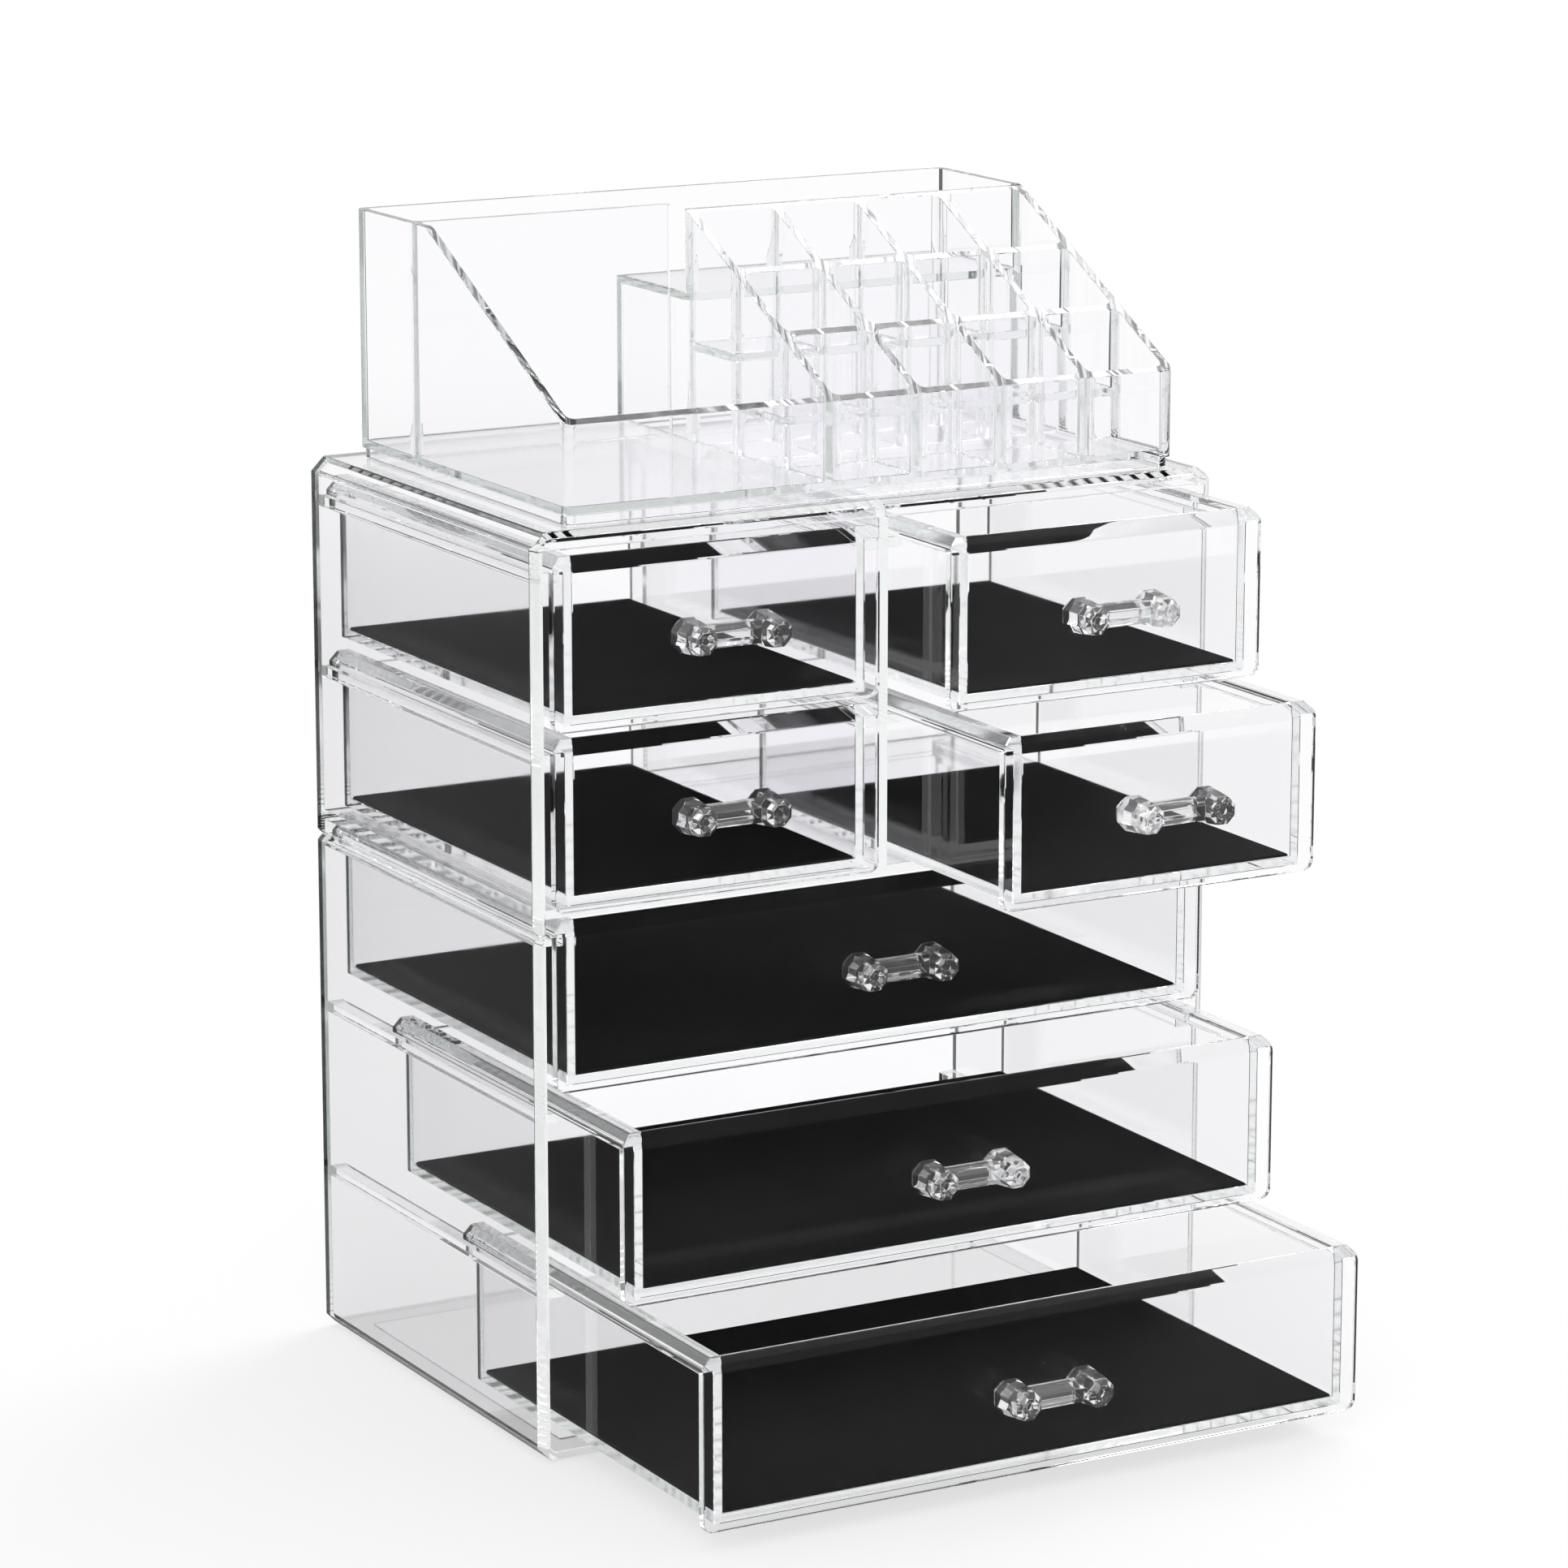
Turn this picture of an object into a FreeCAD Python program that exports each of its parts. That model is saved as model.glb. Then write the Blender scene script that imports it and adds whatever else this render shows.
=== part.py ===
"""Clear makeup organizer: two stacked drawer cases, seven drawers and a lift-off tray.

Millimetres. X runs across the front, -Y is the side the drawers open to, +Z is up.
The origin is on the ground, under the middle of the cases.
"""
import FreeCAD
import Part
import math
import os

Vector = FreeCAD.Vector

# Cases
case_width = 240.0
case_depth = 156.0
case_wall = 3.2
case_top_cut = 4.5
case_base_cut = 3.5
case_joint_cut = 1.8
case_front_cut = 2.4
base_floor = 2.6
base_clearance = 3.8
foot_height = 0.8
foot_inset = 13.0
upper_floor = 3.0
top_plate = 3.0
fascia_height = 5.4
fascia_depth = 3.4
fascia_bevel_height = 2.8
fascia_gap = 1.5
divider_wall = 3.4

# Rails inside the cases
rail_width = 5.6
rail_thickness = 3.2
rail_setback = 1.0

# Drawers
front_height = 53.4
front_gap = 2.0
front_thickness = 3.4
front_side_gap = 1.6
front_corner_cut = 3.0
front_corner_radius = 3.4
front_bevel_height = 4.6
front_bevel_depth = 2.4
drawer_wall = 2.6
drawer_floor = 2.6
drawer_lift = 2.0
drawer_rear_gap = 2.0
drawer_rear_drop = 5.0
rim_height = 4.8

# Clearances
slide_clearance = 0.2
box_rail_clearance = 0.6
closing_clearance = 0.3
floor_clearance = 0.5
box_floor_clearance = 0.9

# Handles
knob_spacing = 25.4
knob_root = 7.6
knob_girth = 10.8
knob_shoulder = 8.6
knob_tip = 5.6
knob_root_length = 3.2
knob_barrel_length = 11.0
knob_bevel_length = 1.6
knob_recess = 4.4
knob_recess_floor = 2.2
knob_recess_depth = 0.9
bar_girth = 7.2
bar_reach = 8.0

# Liners
liner_thickness = 1.0
liner_clearance = 0.5

# Tray
tray_side_inset = 12.5
tray_front_inset = 7.3
tray_rear_inset = 5.7
tray_shift = 2.0
tray_height = 79.0
tray_front_height = 30.5
tray_wall = 2.6
tray_floor = 2.4
tray_foot = 3.0
tray_foot_inset = 0.6
tray_foot_radius = 4.0
tray_corner_radius = 3.0
pocket_radius = 2.4
tray_shoulder_radius = 8.0
bin_depth = 35.0
shelf_depth = 47.5
rack_columns = 4
rack_rows = 3
rack_cell_width = 27.8
rack_step = 15.5

# How far each drawer stands open
open_upper_left = 0.0
open_upper_right = 31.0
open_lower_left = 0.0
open_lower_right = 63.0
open_wide_top = 0.0
open_wide_middle = 43.0
open_wide_bottom = 92.0

# Drawers by row, from the top row down, each row from left to right
small_rows = [
    [("upper_left", open_upper_left), ("upper_right", open_upper_right)],
    [("lower_left", open_lower_left), ("lower_right", open_lower_right)],
]
wide_rows = [
    [("wide_top", open_wide_top)],
    [("wide_middle", open_wide_middle)],
    [("wide_bottom", open_wide_bottom)],
]

# Places worked out from the sizes above
half_width = case_width / 2
front_y = -case_depth / 2
rear_y = case_depth / 2
inner_half = half_width - case_wall
inner_rear = rear_y - case_wall
divider_half = divider_wall / 2
row_pitch = front_height + front_gap
rim_seat = rim_height + slide_clearance
front_overhang = rail_width + box_rail_clearance - front_side_gap
lowest_wide = foot_height + base_floor + base_clearance
wide_tops = [lowest_wide + front_height + row_pitch * row for row in reversed(range(len(wide_rows)))]
lower_top = wide_tops[0] - rim_seat
floor_under = wide_tops[0] + floor_clearance
floor_upper = floor_under + upper_floor
lowest_small = floor_upper + box_floor_clearance - drawer_lift
small_tops = [lowest_small + front_height + row_pitch * row for row in reversed(range(len(small_rows)))]
fascia_under = small_tops[0] + fascia_gap
case_top = fascia_under + fascia_height
closed_back = front_y - closing_clearance
closed_face = closed_back - front_thickness
closed_rear = inner_rear - drawer_rear_gap


def block(x0, x1, y0, y1, z0, z1):
    """Upright box between two corners."""
    return Part.makeBox(x1 - x0, y1 - y0, z1 - z0, Vector(x0, y0, z0))


def rounded_face(corners):
    """Flat face through corners given as (point, radius), with tangent arcs at the radii."""
    edges = []
    ends = []
    count = len(corners)
    for i, (point, radius) in enumerate(corners):
        if radius <= 0:
            ends.append((point, point))
            continue
        back = (corners[i - 1][0] - point).normalize()
        ahead = (corners[(i + 1) % count][0] - point).normalize()
        half_angle = back.getAngle(ahead) / 2
        reach = radius / math.tan(half_angle)
        bisector = (back + ahead).normalize()
        middle = point + bisector * (radius / math.sin(half_angle) - radius)
        start = point + back * reach
        stop = point + ahead * reach
        edges.append(Part.Arc(start, middle, stop).toShape())
        ends.append((start, stop))
    for i in range(count):
        start = ends[i - 1][1]
        stop = ends[i][0]
        if start.distanceToPoint(stop) > 1e-6:
            edges.append(Part.LineSegment(start, stop).toShape())
    return Part.Face(Part.Wire(Part.__sortEdges__(edges)))


def prism_along_x(corners, x0, x1):
    """Solid with an outline of (y, z, radius) corners, from x0 to x1."""
    face = rounded_face([(Vector(x0, y, z), radius) for y, z, radius in corners])
    return face.extrude(Vector(x1 - x0, 0, 0))


def prism_along_y(corners, y0, y1):
    """Solid with an outline of (x, z, radius) corners, from y0 to y1."""
    face = rounded_face([(Vector(x, y0, z), radius) for x, z, radius in corners])
    return face.extrude(Vector(0, y1 - y0, 0))


def prism_along_z(corners, z0, z1):
    """Solid with an outline of (x, y, radius) corners, from z0 to z1."""
    face = rounded_face([(Vector(x, y, z0), radius) for x, y, radius in corners])
    return face.extrude(Vector(0, 0, z1 - z0))


def rounded_block(x0, x1, y0, y1, z0, z1, radii):
    """Upright box with rounded vertical edges: left front, right front, right rear, left rear."""
    places = [(x0, y0), (x1, y0), (x1, y1), (x0, y1)]
    return prism_along_z([(x, y, radius) for (x, y), radius in zip(places, radii)], z0, z1)


def one_solid(shape):
    """Boolean result with its split faces merged, as a bare solid."""
    merged = shape.removeSplitter()
    return merged.Solids[0] if len(merged.Solids) == 1 else merged


def section(half, bottom, top, bottom_cut, top_cut):
    """Outline of a case section with cut lower and upper corners."""
    corners = [
        (-half + bottom_cut, bottom, 0),
        (half - bottom_cut, bottom, 0),
        (half, bottom + bottom_cut, 0),
        (half, top - top_cut, 0),
        (half - top_cut, top, 0),
        (-half + top_cut, top, 0),
        (-half, top - top_cut, 0),
        (-half, bottom + bottom_cut, 0),
    ]
    return [corner for i, corner in enumerate(corners) if corner != corners[i - 1]]


def inner_cut(outer_cut):
    """Corner cut that keeps the wall's thickness behind a cut outer corner."""
    return max(0, outer_cut - case_wall * (2 - math.sqrt(2)))


def front_corner_wedges(bottom, top):
    """What is cut off a case's two upright front edges."""
    edge = half_width - case_front_cut
    right = [(half_width, front_y, 0), (half_width, front_y + case_front_cut, 0), (edge, front_y, 0)]
    left = [(-x, y, radius) for x, y, radius in right]
    return [prism_along_z(right, bottom, top), prism_along_z(left, bottom, top)]


def rails(top, left, right):
    """Pair of ledges that reach into a bay from its two side faces, under a drawer's rims."""
    y0 = front_y + rail_setback
    z1 = top - rim_seat
    z0 = z1 - rail_thickness
    return [
        block(left, left + rail_width, y0, inner_rear, z0, z1),
        block(right - rail_width, right, y0, inner_rear, z0, z1),
    ]


def lower_case():
    """Open-topped shell on a shallow foot, with the rails of the wide drawers."""
    outer = section(half_width, foot_height, lower_top, case_base_cut, case_joint_cut)
    bay = section(inner_half, foot_height + base_floor, lower_top, inner_cut(case_base_cut), 0)
    shell = prism_along_y(outer, front_y, rear_y).cut(prism_along_y(bay, front_y, inner_rear))
    foot_x = half_width - foot_inset
    foot_y = case_depth / 2 - foot_inset
    foot = block(-foot_x, foot_x, -foot_y, foot_y, 0, foot_height)
    ledges = [ledge for top in wide_tops for ledge in rails(top, -inner_half, inner_half)]
    return one_solid(shell.fuse([foot] + ledges).cut(front_corner_wedges(foot_height, lower_top)))


def upper_case():
    """Shell with a floor set above its skirt, a top plate, a fascia and a centre divider."""
    plate_under = case_top - top_plate
    outer = section(half_width, lower_top, case_top, case_joint_cut, case_top_cut)
    bay = section(inner_half, floor_upper, plate_under, 0, inner_cut(case_top_cut))
    skirt = block(-inner_half, inner_half, front_y, inner_rear, lower_top, floor_under)
    envelope = prism_along_y(outer, front_y, rear_y)
    shell = envelope.cut([prism_along_y(bay, front_y, inner_rear), skirt])
    fascia = block(-inner_half, inner_half, front_y, front_y + fascia_depth, fascia_under, case_top)
    divider = block(-divider_half, divider_half, front_y, inner_rear, floor_upper, plate_under)
    ledges = []
    for top in small_tops:
        ledges += rails(top, -inner_half, -divider_half)
        ledges += rails(top, divider_half, inner_half)
    shell = shell.fuse([fascia, divider] + ledges).common(envelope)
    bevel = [
        (front_y, case_top - fascia_bevel_height, 0),
        (front_y + case_front_cut, case_top, 0),
        (front_y, case_top, 0),
    ]
    cuts = front_corner_wedges(lower_top, case_top) + [prism_along_x(bevel, -half_width, half_width)]
    return one_solid(shell.cut(cuts))


def drawer_front(left, right, top):
    """Front plate with cut upper corners, round lower corners and a bevelled upper edge."""
    bottom = top - front_height
    outline = [
        (left, bottom, front_corner_radius),
        (right, bottom, front_corner_radius),
        (right, top - front_corner_cut, 0),
        (right - front_corner_cut, top, 0),
        (left + front_corner_cut, top, 0),
        (left, top - front_corner_cut, 0),
    ]
    bevel = [
        (closed_face, top - front_bevel_height, 0),
        (closed_face + front_bevel_depth, top, 0),
        (closed_face, top, 0),
    ]
    return prism_along_y(outline, closed_face, closed_back).cut(prism_along_x(bevel, left, right))


def drawer(left, right, top):
    """One drawer moulding in its closed place: box with a lower rear wall, two rims and the front."""
    box_left = left + front_overhang
    box_right = right - front_overhang
    box_bottom = top - front_height + drawer_lift
    hollow_rear = closed_rear - drawer_wall
    hollow_left = box_left + drawer_wall
    hollow_right = box_right - drawer_wall
    box = block(box_left, box_right, closed_back, closed_rear, box_bottom, top)
    hollow = block(hollow_left, hollow_right, closed_back, hollow_rear, box_bottom + drawer_floor, top)
    rear_notch = block(hollow_left, hollow_right, hollow_rear, closed_rear, top - drawer_rear_drop, top)
    left_rim = [
        (left, top - rim_height, 0),
        (box_left, top - rim_height, 0),
        (box_left, top, 0),
        (left + front_corner_cut, top, 0),
        (left, top - front_corner_cut, 0),
    ]
    right_rim = [(left + right - x, z, radius) for x, z, radius in left_rim]
    rims = [prism_along_y(rim, closed_back, closed_rear) for rim in (left_rim, right_rim)]
    tub = box.cut([hollow, rear_notch])
    return one_solid(drawer_front(left, right, top).fuse([tub] + rims))


def knob_places(left, right):
    """Where the two knobs of a handle stand across a drawer front."""
    middle = (left + right) / 2
    return [middle - knob_spacing / 2, middle + knob_spacing / 2]


def octagon(centre, across, u, v):
    """Corners of a regular octagon by its width across flats, in the plane of u and v."""
    reach = across / 2 / math.cos(math.pi / 8)
    angles = [math.pi / 8 + k * math.pi / 4 for k in range(8)]
    return [centre + u * (reach * math.cos(a)) + v * (reach * math.sin(a)) for a in angles]


def flat_face(points):
    """Flat face through points in order."""
    return Part.Face(Part.makePolygon(points + points[:1]))


def faceted(rings):
    """Solid with flat facets between rings of points, closed by the first and the last ring."""
    faces = [flat_face(rings[0]), flat_face(rings[-1])]
    for near, far in zip(rings, rings[1:]):
        for i in range(len(near)):
            faces.append(flat_face([near[i - 1], near[i], far[i], far[i - 1]]))
    solid = Part.makeSolid(Part.makeShell(faces))
    if solid.Volume < 0:
        solid.reverse()
    return solid


def knob(x, z):
    """Faceted knob: it swells from its root, then tapers to a bevelled tip with a recess."""
    girth_y = closed_face - knob_root_length
    shoulder_y = girth_y - knob_barrel_length
    tip_y = shoulder_y - knob_bevel_length
    stations = [
        (closed_face, knob_root),
        (girth_y, knob_girth),
        (shoulder_y, knob_shoulder),
        (tip_y, knob_tip),
        (tip_y, knob_recess),
        (tip_y + knob_recess_depth, knob_recess_floor),
    ]
    across = Vector(1, 0, 0)
    up = Vector(0, 0, 1)
    return faceted([octagon(Vector(x, y, z), size, across, up) for y, size in stations])


def handle(left, right, top):
    """Two knobs and the eight-sided bar between them, as one moulding cemented to the front."""
    z = top - front_height / 2
    places = knob_places(left, right)
    bar_start = Vector(places[0], closed_face - bar_reach, z)
    bar_end = octagon(bar_start, bar_girth, Vector(0, 1, 0), Vector(0, 0, 1))
    bar = flat_face(bar_end).extrude(Vector(knob_spacing, 0, 0))
    return one_solid(bar.fuse([knob(x, z) for x in places]))


def liner(left, right, top):
    """Mat on the drawer floor, a little smaller than the floor."""
    inset = front_overhang + drawer_wall + liner_clearance
    under = top - front_height + drawer_lift + drawer_floor
    front = closed_back + liner_clearance
    rear = closed_rear - drawer_wall - liner_clearance
    return block(left + inset, right - inset, front, rear, under, under + liner_thickness)


def top_tray():
    """Tray on a foot: sloped sides, open bins at the left, a shelf and a stepped rack at the right."""
    left = tray_shift - half_width + tray_side_inset
    right = tray_shift + half_width - tray_side_inset
    front = front_y + tray_front_inset
    rear = rear_y - tray_rear_inset
    under = case_top + tray_foot
    top = case_top + tray_height
    ground = under + tray_floor
    in_left = left + tray_wall
    in_right = right - tray_wall
    in_front = front + tray_wall
    in_rear = rear - tray_wall
    bin_front = in_rear - bin_depth
    shelf_front = in_rear - shelf_depth
    rack_rear = shelf_front - tray_wall
    rack_left = in_right - rack_columns * rack_cell_width - (rack_columns - 1) * tray_wall
    bin_right = rack_left - tray_wall
    cell_depth = (rack_rear - in_front - (rack_rows - 1) * tray_wall) / rack_rows
    side = [
        (rear, under, 0),
        (front, under, 0),
        (front, case_top + tray_front_height, 0),
        (shelf_front, top, tray_shoulder_radius),
        (rear, top, 0),
    ]
    bin_radii = [pocket_radius, pocket_radius, 0, pocket_radius]
    rear_bin_radii = [pocket_radius, 0, 0, pocket_radius]
    shelf_radii = [0, pocket_radius, pocket_radius, 0]
    cell_radii = [pocket_radius] * 4
    spaces = [
        (in_left, bin_right, in_front, bin_front - tray_wall, ground, bin_radii),
        (in_left, bin_right, bin_front, in_rear, ground, rear_bin_radii),
        (bin_right, in_right, shelf_front, in_rear, ground + rack_rows * rack_step, shelf_radii),
    ]
    for row in range(rack_rows):
        y0 = in_front + row * (cell_depth + tray_wall)
        for column in range(rack_columns):
            x0 = rack_left + column * (rack_cell_width + tray_wall)
            floor = ground + row * rack_step
            spaces.append((x0, x0 + rack_cell_width, y0, y0 + cell_depth, floor, cell_radii))
    pockets = []
    caves = []
    for x0, x1, y0, y1, floor, radii in spaces:
        pockets.append(rounded_block(x0, x1, y0, y1, floor, top, radii))
        if floor > ground:
            cave_left = max(x0, rack_left)
            caves.append(rounded_block(cave_left, x1, y0, y1, under, floor - tray_floor, cell_radii))
    outside = rounded_block(left, right, front, rear, under, top, [tray_corner_radius] * 4)
    body = prism_along_x(side, left, right).common(outside).cut(pockets + caves)
    foot_outer = tray_foot_inset
    foot_inner = tray_foot_inset + tray_wall
    foot = rounded_block(left + foot_outer, right - foot_outer, front + foot_outer, rear - foot_outer,
                         case_top, under, [tray_foot_radius] * 4)
    foot_hole = rounded_block(left + foot_inner, right - foot_inner, front + foot_inner, rear - foot_inner,
                              case_top, under, [tray_foot_radius - tray_wall] * 4)
    return one_solid(body.fuse(foot.cut(foot_hole)))


def drawers():
    """Name, left and right end of the front, its top and how far each drawer stands open."""
    outer = inner_half - front_side_gap
    inner = divider_half + front_side_gap
    places = []
    for row, top in zip(small_rows, small_tops):
        for (name, opening), (left, right) in zip(row, [(-outer, -inner), (inner, outer)]):
            places.append((name, left, right, top, opening))
    for row, top in zip(wide_rows, wide_tops):
        for name, opening in row:
            places.append((name, -outer, outer, top, opening))
    return places


def build():
    """Every piece of the organizer by name, with the drawers as far open as they stand."""
    pieces = {"lower_case": lower_case(), "upper_case": upper_case(), "top_tray": top_tray()}
    makers = {"drawer": drawer, "handle": handle, "liner": liner}
    for name, left, right, top, opening in drawers():
        for kind, make in makers.items():
            shape = make(left, right, top)
            shape.translate(Vector(0, -opening, 0))
            pieces[name + "_" + kind] = shape
    return pieces


os.makedirs("parts", exist_ok=True)
for piece_name, piece in build().items():
    piece.exportStep("parts/" + piece_name + ".step")
    print(piece_name, "valid" if piece.isValid() else "INVALID", len(piece.Solids), round(piece.Volume))
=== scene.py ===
"""Looks, light and camera for the clear makeup organizer. Lengths are in metres."""

import math

import bmesh
import bpy
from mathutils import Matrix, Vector


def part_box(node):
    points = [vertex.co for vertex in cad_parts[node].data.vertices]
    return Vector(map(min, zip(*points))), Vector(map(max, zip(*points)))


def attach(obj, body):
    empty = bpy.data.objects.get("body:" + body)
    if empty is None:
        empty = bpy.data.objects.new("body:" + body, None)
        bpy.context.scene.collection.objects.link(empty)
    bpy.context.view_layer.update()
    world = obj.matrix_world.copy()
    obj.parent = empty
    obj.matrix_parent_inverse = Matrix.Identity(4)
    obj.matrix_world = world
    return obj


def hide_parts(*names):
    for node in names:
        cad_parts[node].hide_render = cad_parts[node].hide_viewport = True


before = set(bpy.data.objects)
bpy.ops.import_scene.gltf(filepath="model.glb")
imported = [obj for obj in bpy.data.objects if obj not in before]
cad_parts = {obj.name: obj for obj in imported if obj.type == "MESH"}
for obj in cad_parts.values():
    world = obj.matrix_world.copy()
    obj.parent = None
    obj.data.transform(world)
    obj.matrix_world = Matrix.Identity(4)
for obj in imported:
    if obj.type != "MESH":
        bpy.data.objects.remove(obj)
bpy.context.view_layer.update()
scene = bpy.context.scene

DRAWERS = [
    "upper_left", "upper_right", "lower_left", "lower_right",
    "wide_top", "wide_middle", "wide_bottom",
]

# For each family of nodes: the width of its rounded edges, and whether its flat faces are made whole first.
EDGES = {
    "case": (0.0003, False),
    "tray": (0.0002, False),
    "drawer": (0.0004, True),
    "handle": (0.0001, True),
}
EDGE_STEPS = 2
WELD_REACH = 1e-5
FLAT_ANGLE = math.radians(0.5)
ROUNDED_ANGLE = math.radians(25)
SHADED_ANGLE = math.radians(20)

# Clear acrylic. A body is what light loses on its way through, and the two grades are panels and facets.
PANEL_TINT = (0.993, 0.991, 1.0, 1)
GREEN_BODY = {"Color": (0.56, 0.66, 0.61, 1), "Density": 1.2}
GREY_BODY = {"Color": (0.6, 0.65, 0.63, 1), "Density": 8.0}
PANELS = {"ripple": 0.02, "gleam": 0.1, "index": 1.49, "clarity": 1.0, "polish": (0.02, 0.045)}
FACETS = {"ripple": 0.0, "gleam": 1.0, "index": 1.59, "clarity": 0.95, "polish": (0.0, 0.01)}
HAZE_RANGE = (0.35, 0.75)

# Painted shade on the side-facing ends of each rear wall, dark strips in place of the dark lines that these
# edges refract: how deep the strips are, their painted shade colour, and how far a face has to look
# sideways.
CASE_PAINTED_END = 0.0032
TRAY_PAINTED_END = 0.0026
DRAWER_PAINTED_END = 0.0024
PAINTED_END_SHADE = (0.02, 0.024, 0.022, 1)
PAINTED_END_FACING = 0.6

# Black mats.
MAT_RADIUS = 0.0006
MAT_EDGE = 0.0003
MAT_AIR = 0.00006
MAT_CORNER_STEPS = 6
MAT_GLOSS = 0.12
MAT_CLOUD_SHARE = 0.35
MAT_DARK = (0.02, 0.019, 0.0195, 1)
MAT_PALE = (0.036, 0.0345, 0.0355, 1)

# Stage. Distances on the floor are from the origin, which is under the middle of the object.
FLOOR_REACH = 12.0
FLOOR_GREY = (0.9, 0.9, 0.9, 1)
WHITE = (1, 1, 1, 1)
SHADOW_RANGE = (0.12, 0.6)
SHADOW_GLOW = 0.68
MIRRORED_RANGE = (1.2, 2.2)
MIRRORED_GLOW = 0.07
MIRRORED_ROOM = 0.85
NEAR_FACES = 6.5
SKY = [(0.0, 1.0), (0.35, 1.0), (0.7, 0.75), (1.0, 0.8)]

# Camera, fitted to the photo. The focal length is in pixels of its frame, and the angles are in degrees.
FRAME_PIXELS = 1932
FOCAL_PIXELS = 7258.3
SENSOR = 36
CAMERA_PLACE = (-0.891, -1.6073, 0.6095)
CAMERA_DOWN = 13.01
CAMERA_TURN = -29.24
BOUNCES = 96


class Nodes:
    """Short way to add and join shader nodes in one tree."""

    def __init__(self, tree):
        self.tree = tree
        tree.nodes.clear()

    def add(self, kind, **values):
        """New node, with each value on the input or the setting of that name."""
        node = self.tree.nodes.new(kind)
        for name, value in values.items():
            if name in node.inputs:
                node.inputs[name].default_value = value
            else:
                setattr(node, name, value)
        return node

    def join(self, source, target):
        self.tree.links.new(source, target)

    def compute(self, operation, first, second=None):
        """Result of a Math node on one socket, and on a number or a second socket where it takes two."""
        node = self.add("ShaderNodeMath", operation=operation)
        self.join(first, node.inputs[0])
        if isinstance(second, float):
            node.inputs[1].default_value = second
        elif second is not None:
            self.join(second, node.inputs[1])
        return node.outputs["Value"]

    def fade(self, source, places, amounts, interpolation):
        """Result of a Map Range node that goes from one amount to the other between two places."""
        node = self.add("ShaderNodeMapRange", interpolation_type=interpolation)
        node.inputs["From Min"].default_value = places[0]
        node.inputs["From Max"].default_value = places[1]
        node.inputs["To Min"].default_value = amounts[0]
        node.inputs["To Max"].default_value = amounts[1]
        self.join(source, node.inputs["Value"])
        return node.outputs["Result"]

    def ramp(self, source, stops):
        """Colour of a ramp of (place, colour) stops."""
        node = self.add("ShaderNodeValToRGB")
        elements = node.color_ramp.elements
        while len(elements) < len(stops):
            elements.new(0.5)
        for element, (place, colour) in zip(elements, stops):
            element.position = place
            element.color = colour
        self.join(source, node.inputs["Fac"])
        return node.outputs["Color"]

    def mix(self, share, first, second):
        """Shader that goes from the first to the second as the share goes from 0 to 1."""
        node = self.add("ShaderNodeMixShader")
        self.join(share, node.inputs["Fac"])
        self.join(first, node.inputs[1])
        self.join(second, node.inputs[2])
        return node.outputs["Shader"]


def grey(value):
    return (value, value, value, 1)


def new_material(name):
    material = bpy.data.materials.new(name)
    material.use_nodes = True
    return material, Nodes(material.node_tree)


def painted_shade_ends(n, place, painted_ends_from):
    """Colour with painted shade on the side-facing ends of a rear wall: dark strips in place of the dark
    lines that these edges refract.
    """
    depth = n.add("ShaderNodeSeparateXYZ")
    n.join(place.outputs["Object"], depth.inputs["Vector"])
    behind = n.compute("GREATER_THAN", depth.outputs["Y"], painted_ends_from)
    geometry = n.add("ShaderNodeNewGeometry")
    facing = n.add("ShaderNodeSeparateXYZ")
    n.join(geometry.outputs["Normal"], facing.inputs["Vector"])
    sideways = n.compute("GREATER_THAN", n.compute("ABSOLUTE", facing.outputs["X"]), PAINTED_END_FACING)
    # Painted shade colour on the masked ends, the panel tint elsewhere.
    colour = n.add("ShaderNodeMix", data_type="RGBA")
    colour.inputs[6].default_value = PANEL_TINT
    colour.inputs[7].default_value = PAINTED_END_SHADE
    n.join(n.compute("MULTIPLY", behind, sideways), colour.inputs[0])
    return colour.outputs[2]


def acrylic(name, grade, body, seed, painted_ends_from=None):
    """Clear moulded acrylic: faint flow ripple, polish that varies a little, a tint in long edges, and
    painted shade on the ends of rear walls.
    """
    material, n = new_material(name)
    out = n.add("ShaderNodeOutputMaterial")
    shader = n.add("ShaderNodeBsdfPrincipled")
    shader.inputs["Base Color"].default_value = PANEL_TINT
    shader.inputs["Transmission Weight"].default_value = grade["clarity"]
    shader.inputs["IOR"].default_value = grade["index"]
    shader.inputs["Specular Tint"].default_value = grey(grade["gleam"])
    place = n.add("ShaderNodeTexCoord")
    flow = n.add("ShaderNodeTexNoise", noise_dimensions="4D", W=seed, Scale=26.0, Detail=1.0, Roughness=0.4)
    n.join(place.outputs["Object"], flow.inputs["Vector"])
    bump = n.add("ShaderNodeBump", Strength=grade["ripple"], Distance=0.0004)
    n.join(flow.outputs["Fac"], bump.inputs["Height"])
    n.join(bump.outputs["Normal"], shader.inputs["Normal"])
    haze = n.add("ShaderNodeTexNoise", noise_dimensions="4D", W=seed + 3.0, Scale=90.0, Detail=3.0)
    n.join(place.outputs["Object"], haze.inputs["Vector"])
    stops = [(at, grey(roughness)) for at, roughness in zip(HAZE_RANGE, grade["polish"])]
    n.join(n.ramp(haze.outputs["Fac"], stops), shader.inputs["Roughness"])
    # Painted shade on the side-facing ends of the rear wall.
    if painted_ends_from is not None:
        n.join(painted_shade_ends(n, place, painted_ends_from), shader.inputs["Base Color"])
    inside = n.add("ShaderNodeVolumeAbsorption", **body)
    n.join(shader.outputs["BSDF"], out.inputs["Surface"])
    n.join(inside.outputs["Volume"], out.inputs["Volume"])
    return material


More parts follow.
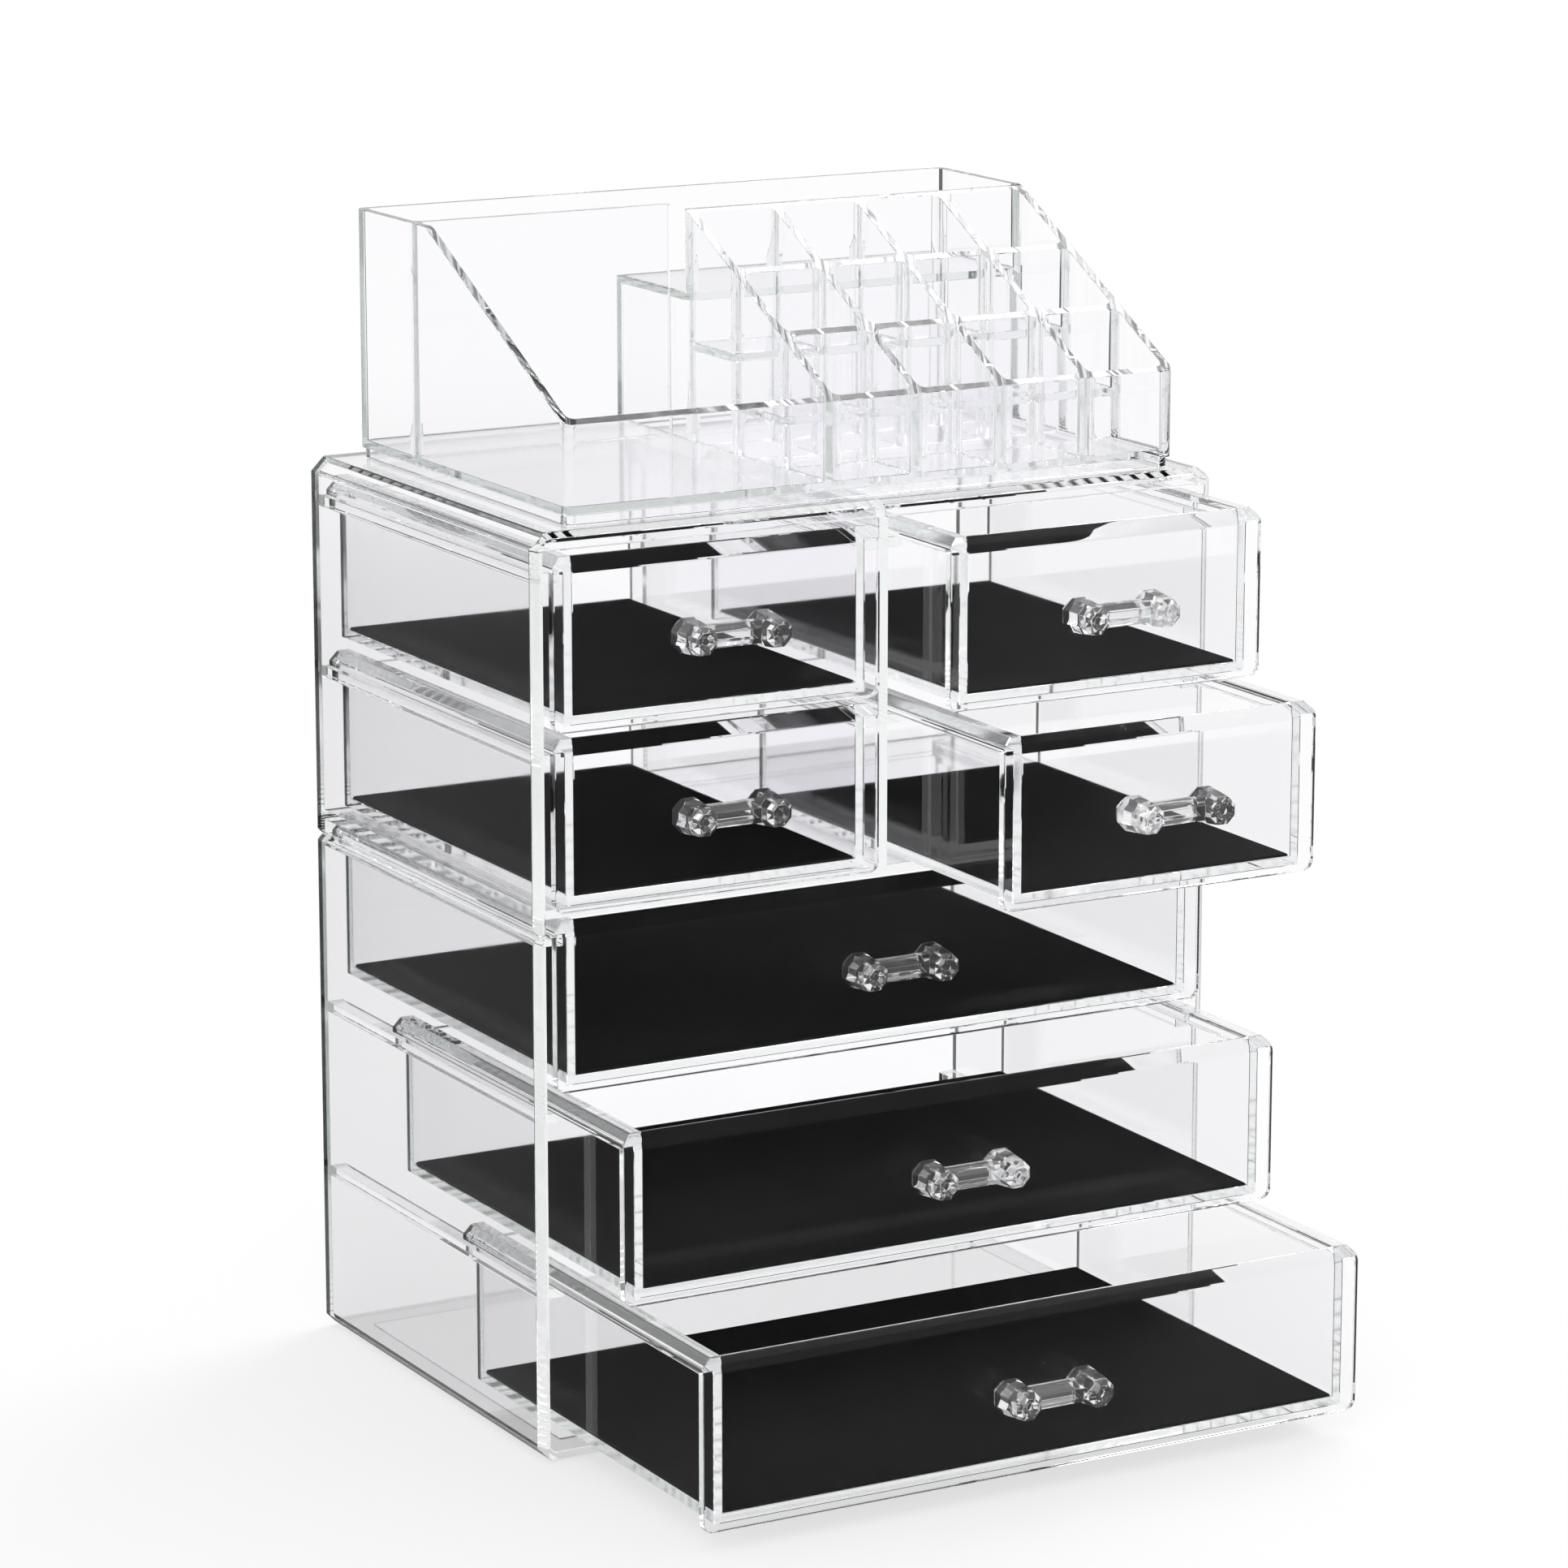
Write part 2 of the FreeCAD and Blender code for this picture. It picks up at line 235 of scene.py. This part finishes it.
def mat_felt():
    """Matte black mat with a fine nap."""
    material, n = new_material("mat_black")
    out = n.add("ShaderNodeOutputMaterial")
    shader = n.add("ShaderNodeBsdfPrincipled")
    shader.inputs["Specular IOR Level"].default_value = MAT_GLOSS
    place = n.add("ShaderNodeTexCoord")
    nap = n.add("ShaderNodeTexNoise", Scale=2600.0, Detail=3.0, Roughness=0.6)
    cloud = n.add("ShaderNodeTexNoise", Scale=45.0, Detail=4.0)
    n.join(place.outputs["Object"], nap.inputs["Vector"])
    n.join(place.outputs["Object"], cloud.inputs["Vector"])
    blend = n.add("ShaderNodeMix", data_type="FLOAT")
    blend.inputs[0].default_value = MAT_CLOUD_SHARE
    n.join(nap.outputs["Fac"], blend.inputs[2])
    n.join(cloud.outputs["Fac"], blend.inputs[3])
    tone = n.ramp(blend.outputs[0], [(0.3, MAT_DARK), (0.75, MAT_PALE)])
    n.join(tone, shader.inputs["Base Color"])
    rough = n.ramp(nap.outputs["Fac"], [(0.2, grey(0.8)), (0.8, grey(0.97))])
    n.join(rough, shader.inputs["Roughness"])
    bump = n.add("ShaderNodeBump", Strength=0.5, Distance=0.0002)
    n.join(nap.outputs["Fac"], bump.inputs["Height"])
    n.join(bump.outputs["Normal"], shader.inputs["Normal"])
    n.join(shader.outputs["BSDF"], out.inputs["Surface"])
    return material


def soften_edges(obj, width, whole_faces):
    """Rounds the sharp edges a little, and keeps each flat face flat in its shading."""
    weld = obj.modifiers.new("weld", "WELD")
    weld.merge_threshold = WELD_REACH
    if whole_faces:
        merge = obj.modifiers.new("flat faces", "DECIMATE")
        merge.decimate_type = "DISSOLVE"
        merge.angle_limit = FLAT_ANGLE
    bevel = obj.modifiers.new("edges", "BEVEL")
    bevel.width = width
    bevel.segments = EDGE_STEPS
    bevel.limit_method = "ANGLE"
    bevel.angle_limit = ROUNDED_ANGLE
    bevel.use_clamp_overlap = whole_faces
    split = obj.modifiers.new("flat shading", "EDGE_SPLIT")
    split.split_angle = SHADED_ANGLE


def dress_nodes():
    """Gives each clear node its acrylic and its rounded edges."""
    # Where the painted shade on the ends of each rear wall begins.
    case_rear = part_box("upper_case")[1].y - CASE_PAINTED_END
    tray_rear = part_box("top_tray")[1].y - TRAY_PAINTED_END
    case_clear = acrylic("case_acrylic", PANELS, GREEN_BODY, seed=1.0, painted_ends_from=case_rear)
    tray_clear = acrylic("tray_acrylic", PANELS, GREY_BODY, seed=4.0, painted_ends_from=tray_rear)
    crystal = acrylic("handle_acrylic", FACETS, GREEN_BODY, seed=7.0)
    finishes = {"lower_case": case_clear, "upper_case": case_clear, "top_tray": tray_clear}
    for drawer in DRAWERS:
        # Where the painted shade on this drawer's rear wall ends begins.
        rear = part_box(drawer + "_drawer")[1].y - DRAWER_PAINTED_END
        drawer_clear = acrylic(drawer + "_acrylic", PANELS, GREEN_BODY, seed=1.0, painted_ends_from=rear)
        finishes[drawer + "_drawer"] = drawer_clear
        finishes[drawer + "_handle"] = crystal
    for name, finish in finishes.items():
        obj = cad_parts[name]
        obj.data.materials.clear()
        obj.data.materials.append(finish)
        family = name.split("_")[-1]
        soften_edges(obj, *EDGES[family])


def mat_outline(low, high):
    """Points round a mat's outline, with round corners."""
    left, right = low.x + MAT_RADIUS, high.x - MAT_RADIUS
    front, rear = low.y + MAT_RADIUS, high.y - MAT_RADIUS
    points = []
    for x, y, start in ((right, front, -90), (right, rear, 0), (left, rear, 90), (left, front, 180)):
        for step in range(MAT_CORNER_STEPS + 1):
            angle = math.radians(start + 90 / MAT_CORNER_STEPS * step)
            points.append((x + MAT_RADIUS * math.cos(angle), y + MAT_RADIUS * math.sin(angle)))
    return points


def mat_piece(drawer, felt):
    """Thin mat with cut edges and round corners, laid on the drawer floor."""
    low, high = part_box(drawer + "_liner")
    outline = mat_outline(low, high)
    thick = high.z - low.z
    middle = Vector(((low.x + high.x) / 2, (low.y + high.y) / 2))
    half = Vector(((high.x - low.x) / 2, (high.y - low.y) / 2))
    bm = bmesh.new()
    loops = []
    for inset, height in ((0.0, MAT_AIR), (0.0, thick - MAT_EDGE), (MAT_EDGE, thick)):
        across = 1 - inset / half.x
        along = 1 - inset / half.y
        loop = []
        for x, y in outline:
            point = (middle.x + (x - middle.x) * across, middle.y + (y - middle.y) * along, low.z + height)
            loop.append(bm.verts.new(point))
        loops.append(loop)
    count = len(outline)
    for lower, upper in zip(loops, loops[1:]):
        for i in range(count):
            j = (i + 1) % count
            bm.faces.new((lower[i], lower[j], upper[j], upper[i]))
    bm.faces.new(loops[-1])
    bm.faces.new(list(reversed(loops[0])))
    bmesh.ops.recalc_face_normals(bm, faces=bm.faces)
    mesh = bpy.data.meshes.new(drawer + "_mat")
    bm.to_mesh(mesh)
    bm.free()
    mesh.materials.append(felt)
    piece = bpy.data.objects.new(drawer + "_mat", mesh)
    scene.collection.objects.link(piece)
    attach(piece, drawer)
    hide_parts(drawer + "_liner")


def mirrored(n):
    """1 for light mirrored once by one of the walls in front, half for twice, else 0."""
    path = n.add("ShaderNodeLightPath")
    some = n.compute("GREATER_THAN", path.outputs["Glossy Depth"], 0.5)
    few = n.fade(path.outputs["Glossy Depth"], (1.0, 3.0), (1.0, 0.0), "LINEAR")
    near = n.compute("LESS_THAN", path.outputs["Transmission Depth"], NEAR_FACES)
    return n.compute("MULTIPLY", n.compute("MULTIPLY", some, few), near)


def stage_floor():
    """Pale floor that turns to plain white away from the object, and is dim where it is mirrored."""
    mesh = bpy.data.meshes.new("floor")
    corners = [(-1, -1), (1, -1), (1, 1), (-1, 1)]
    mesh.from_pydata([(FLOOR_REACH * x, FLOOR_REACH * y, 0) for x, y in corners], [], [(0, 1, 2, 3)])
    floor = bpy.data.objects.new("floor", mesh)
    scene.collection.objects.link(floor)
    material, n = new_material("floor_white")
    out = n.add("ShaderNodeOutputMaterial")
    paper = n.add("ShaderNodeBsdfDiffuse", Color=FLOOR_GREY)
    white = n.add("ShaderNodeEmission", Color=WHITE, Strength=1.0)
    dim = n.add("ShaderNodeEmission", Color=WHITE)
    geometry = n.add("ShaderNodeNewGeometry")
    flat = n.add("ShaderNodeVectorMath", operation="MULTIPLY")
    flat.inputs[1].default_value = (1, 1, 0)
    n.join(geometry.outputs["Position"], flat.inputs[0])
    far = n.add("ShaderNodeVectorMath", operation="LENGTH")
    n.join(flat.outputs["Vector"], far.inputs[0])
    share = n.fade(far.outputs["Value"], SHADOW_RANGE, (SHADOW_GLOW, 1.0), "SMOOTHSTEP")
    beyond = n.fade(far.outputs["Value"], MIRRORED_RANGE, (MIRRORED_GLOW, 1.0), "SMOOTHSTEP")
    n.join(beyond, dim.inputs["Strength"])
    plain = n.mix(share, paper.outputs["BSDF"], white.outputs["Emission"])
    n.join(n.mix(mirrored(n), plain, dim.outputs["Emission"]), out.inputs["Surface"])
    mesh.materials.append(material)


def stage_world():
    """White surroundings near the horizon, greyer overhead; mirrored light comes from a dimmer room."""
    world = bpy.data.worlds.new("studio")
    scene.world = world
    world.use_nodes = True
    n = Nodes(world.node_tree)
    out = n.add("ShaderNodeOutputWorld")
    place = n.add("ShaderNodeTexCoord")
    split = n.add("ShaderNodeSeparateXYZ")
    n.join(place.outputs["Generated"], split.inputs["Vector"])
    through = n.add("ShaderNodeBackground", Strength=1.0)
    sky = n.ramp(split.outputs["Z"], [(height, grey(value)) for height, value in SKY])
    n.join(sky, through.inputs["Color"])
    room = n.add("ShaderNodeBackground", Color=WHITE, Strength=MIRRORED_ROOM)
    plain = n.add("ShaderNodeBackground", Color=WHITE, Strength=1.0)
    path = n.add("ShaderNodeLightPath")
    seen = n.mix(mirrored(n), through.outputs["Background"], room.outputs["Background"])
    last = n.mix(path.outputs["Is Camera Ray"], seen, plain.outputs["Background"])
    n.join(last, out.inputs["Surface"])


def softbox(name, place, target, side, watts):
    data = bpy.data.lights.new(name, "AREA")
    data.shape = "RECTANGLE"
    data.size = side
    data.size_y = side
    data.energy = watts
    lamp = bpy.data.objects.new(name, data)
    lamp.location = place
    lamp.rotation_euler = (Vector(target) - Vector(place)).to_track_quat("-Z", "Y").to_euler()
    scene.collection.objects.link(lamp)


def photo_camera():
    """Camera at the photo's viewing angle."""
    data = bpy.data.cameras.new("camera")
    data.sensor_width = SENSOR
    data.lens = SENSOR * FOCAL_PIXELS / FRAME_PIXELS
    camera = bpy.data.objects.new("camera", data)
    camera.location = CAMERA_PLACE
    camera.rotation_euler = (math.radians(90 - CAMERA_DOWN), 0, math.radians(CAMERA_TURN))
    scene.collection.objects.link(camera)
    scene.camera = camera


dress_nodes()
black_felt = mat_felt()
for name in DRAWERS:
    mat_piece(name, black_felt)
stage_floor()
stage_world()
softbox("key", place=(1.1, 0.5, 1.3), target=(0, 0, 0.15), side=0.9, watts=14)
softbox("fill", place=(-0.9, -1.1, 1.2), target=(0, 0, 0.2), side=0.7, watts=5)
photo_camera()

scene.view_settings.view_transform = "Standard"
scene.cycles.max_bounces = BOUNCES
scene.cycles.transmission_bounces = BOUNCES
scene.cycles.glossy_bounces = BOUNCES
